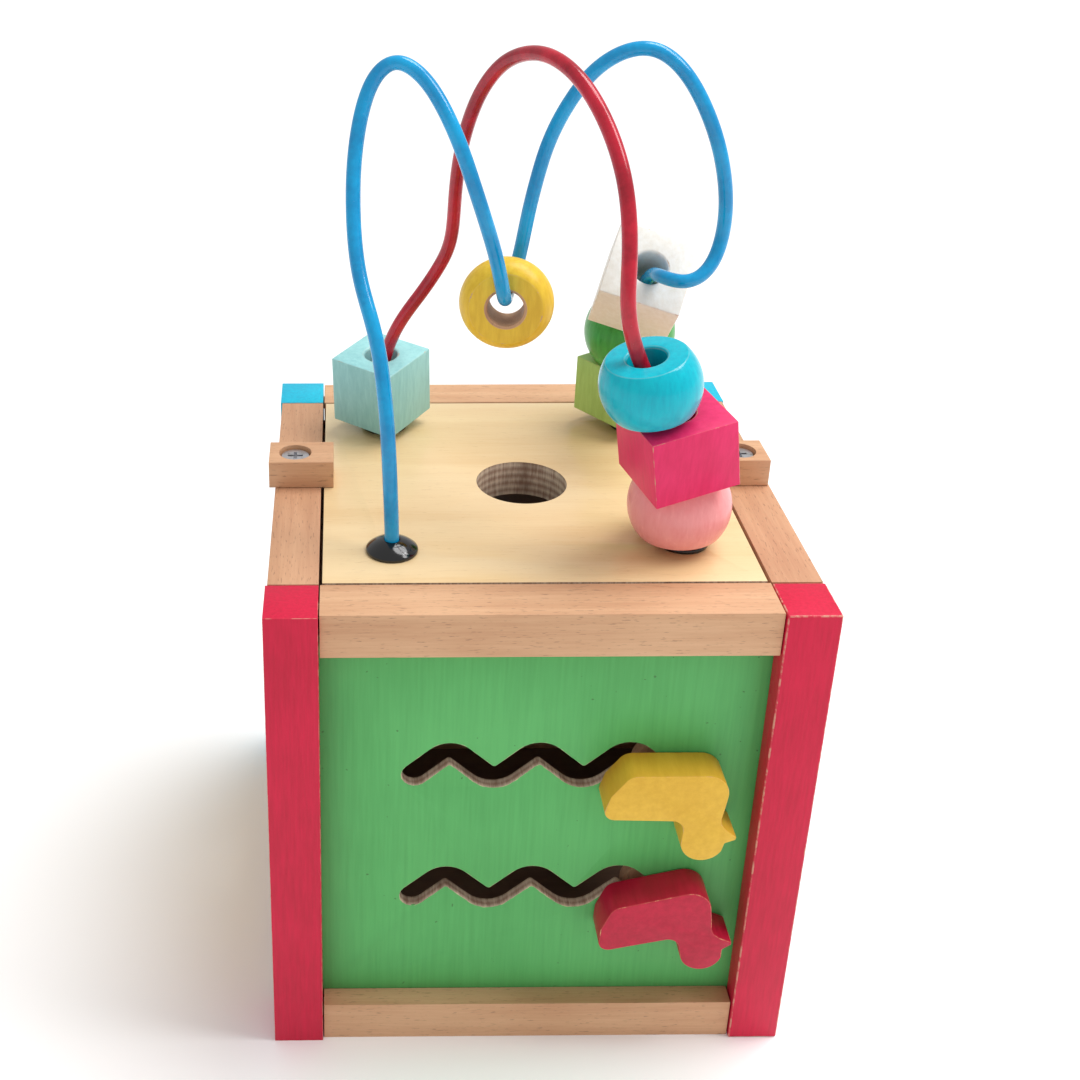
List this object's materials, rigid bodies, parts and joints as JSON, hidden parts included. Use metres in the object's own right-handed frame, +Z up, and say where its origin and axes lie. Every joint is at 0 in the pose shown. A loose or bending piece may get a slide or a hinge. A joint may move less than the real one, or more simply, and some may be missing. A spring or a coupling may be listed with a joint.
{
  "type": "shape sorter activity cube",
  "caption": "Wooden posting box whose lid carries a bead maze of bent wires, with sliding ducks in zigzag slots on the front and shape holes in the sides.",
  "frame": {"origin": "on the ground under the middle of the lid's round hole, at the centre of the box's footprint", "axes": "+X to the right seen from the front, +Y away from the front, +Z up"},
  "size_m": [0.1613, 0.1635, 0.2992],
  "materials": {
    "post_red": "painted, satin",
    "post_cyan": "painted, satin",
    "beech": "bare, fine sanded",
    "birch": "clear lacquer, glossy",
    "panel_green": "painted plywood, matt",
    "panel_red": "painted plywood, matt",
    "panel_yellow": "painted plywood, matt",
    "panel_blue": "painted plywood, matt",
    "steel": "zinc plated",
    "wire_blue": "gloss coating",
    "wire_red": "gloss coating",
    "cap_black": "gloss",
    "bead_blue": "painted, satin",
    "bead_lime": "painted, satin",
    "bead_green": "painted, gloss",
    "bead_white": "painted, satin",
    "bead_pink": "painted, satin",
    "bead_magenta": "painted, satin",
    "bead_teal": "painted, gloss",
    "bead_yellow": "painted, gloss",
    "duck_yellow": "painted, satin",
    "duck_red": "painted, satin"
  },
  "bodies": {
    "root": {"post_front_left": "post_red", "post_front_right": "post_red", "post_rear_left": "post_cyan", "post_rear_right": "post_cyan", "top_rail_front": "beech", "top_rail_rear": "beech", "top_rail_left": "beech", "top_rail_right": "beech", "bottom_rail_front": "beech", "bottom_rail_rear": "beech", "bottom_rail_left": "beech", "bottom_rail_right": "beech", "rail_dowels": "beech", "front_panel": "panel_green", "rear_panel": "panel_red", "left_panel": "panel_yellow", "right_panel": "panel_blue", "floor_panel": "birch", "ledge_left": "beech", "ledge_right": "beech", "lid": "birch", "button_screw_left": "steel", "button_screw_right": "steel", "wire_blue": "wire_blue", "wire_red": "wire_red", "cap_front_left": "cap_black", "cap_front_right": "cap_black", "cap_rear_left": "cap_black", "cap_rear_right": "cap_black", "wire_washers": "steel", "wire_nuts": "steel"},
    "turn_button_left": {"turn_button_left": "beech"},
    "turn_button_right": {"turn_button_right": "beech"},
    "bead_blue_cube": {"bead_blue_cube": "bead_blue"},
    "bead_lime_block": {"bead_lime_block": "bead_lime"},
    "bead_green_barrel": {"bead_green_barrel": "bead_green"},
    "bead_white_block": {"bead_white_block": "bead_white"},
    "bead_pink_barrel": {"bead_pink_barrel": "bead_pink"},
    "bead_pink_block": {"bead_pink_block": "bead_magenta"},
    "bead_teal_barrel": {"bead_teal_barrel": "bead_teal"},
    "bead_yellow_wheel": {"bead_yellow_wheel": "bead_yellow"},
    "duck_slider_yellow": {"duck_sleeve_yellow": "beech"},
    "duck_yellow": {"duck_yellow": "duck_yellow", "duck_screw_yellow": "steel", "duck_disc_yellow": "beech"},
    "duck_slider_red": {"duck_sleeve_red": "beech"},
    "duck_red": {"duck_red": "duck_red", "duck_screw_red": "steel", "duck_disc_red": "beech"}
  },
  "joints": [
    {"name": "turn_button_left_turn", "type": "hinge", "parent": "root", "child": "turn_button_left", "pos_m": [-0.073, 0.004, 0.1587], "axis": [0, 0, 1], "continuous": true},
    {"name": "turn_button_right_turn", "type": "hinge", "parent": "root", "child": "turn_button_right", "pos_m": [0.0706, 0.004, 0.1587], "axis": [0, 0, 1], "continuous": true},
    {"name": "bead_blue_cube_spin", "type": "hinge", "parent": "root", "child": "bead_blue_cube", "pos_m": [-0.0442, 0.043, 0.17445], "axis": [-0.0349, -0.1131, 0.993], "continuous": true},
    {"name": "bead_lime_block_spin", "type": "hinge", "parent": "root", "child": "bead_lime_block", "pos_m": [0.0408, 0.0448, 0.1728], "axis": [0, 0, 1], "continuous": true},
    {"name": "bead_green_barrel_spin", "type": "hinge", "parent": "root", "child": "bead_green_barrel", "pos_m": [0.04, 0.044, 0.19345], "axis": [0, 0, 1], "continuous": true},
    {"name": "bead_white_block_spin", "type": "hinge", "parent": "root", "child": "bead_white_block", "pos_m": [0.0396, 0.027, 0.21675], "axis": [0, -0.7193, 0.6947], "continuous": true},
    {"name": "bead_pink_barrel_spin", "type": "hinge", "parent": "root", "child": "bead_pink_barrel", "pos_m": [0.0417, -0.0393, 0.1719], "axis": [-0.0698, 0, 0.9976], "continuous": true},
    {"name": "bead_pink_block_spin", "type": "hinge", "parent": "root", "child": "bead_pink_block", "pos_m": [0.0378, -0.0449, 0.1943], "axis": [-0.1564, -0.1204, 0.9803], "continuous": true},
    {"name": "bead_teal_barrel_spin", "type": "hinge", "parent": "root", "child": "bead_teal_barrel", "pos_m": [0.028, -0.0482, 0.2144], "axis": [-0.225, -0.0849, 0.9707], "continuous": true},
    {"name": "bead_yellow_wheel_spin", "type": "hinge", "parent": "root", "child": "bead_yellow_wheel", "pos_m": [-0.0075, 0, 0.2204], "axis": [-0.1444, -0.9895, 0], "continuous": true},
    {"name": "duck_yellow_slide", "type": "slide", "parent": "root", "child": "duck_slider_yellow", "axis": [-0.749, 0, 0.6626], "range_m": [0, 0.009]},
    {"name": "duck_yellow_turn", "type": "hinge", "parent": "duck_slider_yellow", "child": "duck_yellow", "pos_m": [0.0368, -0.0722, 0.09845], "axis": [0, -1, 0], "continuous": true},
    {"name": "duck_red_slide", "type": "slide", "parent": "root", "child": "duck_slider_red", "axis": [-0.749, 0, 0.6626], "range_m": [0, 0.009]},
    {"name": "duck_red_turn", "type": "hinge", "parent": "duck_slider_red", "child": "duck_red", "pos_m": [0.0368, -0.0722, 0.05205], "axis": [0, -1, 0], "continuous": true}
  ]
}
